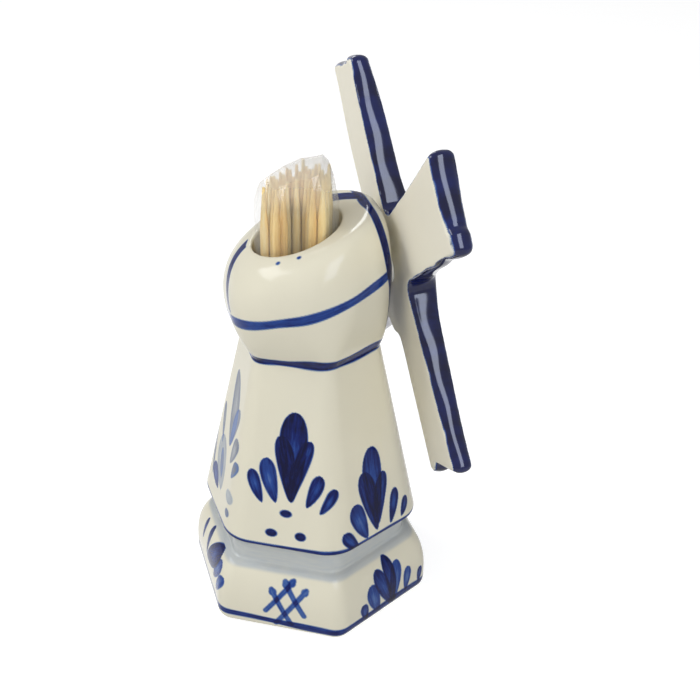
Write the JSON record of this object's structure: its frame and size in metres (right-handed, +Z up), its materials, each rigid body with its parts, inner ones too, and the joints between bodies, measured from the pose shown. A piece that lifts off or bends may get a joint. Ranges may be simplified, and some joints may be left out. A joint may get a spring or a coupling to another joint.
{
  "type": "toothpick holder",
  "caption": "Small ceramic windmill with a round well in its top for a film bag of toothpicks, and a blue sail cross that turns on a pin at the front",
  "frame": {"origin": "centre of the hexagonal foot, on the surface that the holder stands on", "axes": "+Z up; the sails are on the -Y side; +X to the right of someone who faces the sails from +Y"},
  "size_m": [0.0846, 0.0534, 0.1239],
  "materials": {
    "glaze_white": "glossy",
    "glaze_blue": "glossy",
    "pin_metal": "satin",
    "washer_plastic": "matte",
    "clear_film": "clear glossy",
    "pick_wood": "bare"
  },
  "bodies": {
    "mill": {"mill_body": "glaze_white", "axle_pin": "pin_metal", "rear_washer": "washer_plastic", "head_washer": "washer_plastic"},
    "sails": {"sail_cross": "glaze_blue"},
    "pack": {"film_bag": "clear_film", "toothpick_01": "pick_wood", "toothpick_02": "pick_wood", "toothpick_03": "pick_wood", "toothpick_04": "pick_wood", "toothpick_05": "pick_wood", "toothpick_06": "pick_wood", "toothpick_07": "pick_wood", "toothpick_08": "pick_wood", "toothpick_09": "pick_wood", "toothpick_10": "pick_wood", "toothpick_11": "pick_wood", "toothpick_12": "pick_wood", "toothpick_13": "pick_wood", "toothpick_14": "pick_wood", "toothpick_15": "pick_wood", "toothpick_16": "pick_wood", "toothpick_17": "pick_wood", "toothpick_18": "pick_wood", "toothpick_19": "pick_wood", "toothpick_20": "pick_wood", "toothpick_21": "pick_wood", "toothpick_22": "pick_wood", "toothpick_23": "pick_wood", "toothpick_24": "pick_wood", "toothpick_25": "pick_wood", "toothpick_26": "pick_wood", "toothpick_27": "pick_wood", "toothpick_28": "pick_wood", "toothpick_29": "pick_wood", "toothpick_30": "pick_wood", "toothpick_31": "pick_wood", "toothpick_32": "pick_wood", "toothpick_33": "pick_wood", "toothpick_34": "pick_wood", "toothpick_35": "pick_wood"}
  },
  "joints": [
    {"name": "sail_spin", "type": "hinge", "parent": "mill", "child": "sails", "pos_m": [0, -0.0165, 0.0812], "axis": [0, -0.9938, 0.1115], "continuous": true},
    {"name": "pack_lift", "type": "slide", "parent": "mill", "child": "pack", "axis": [0, 0, 1], "range_m": [0, 0.078]}
  ]
}
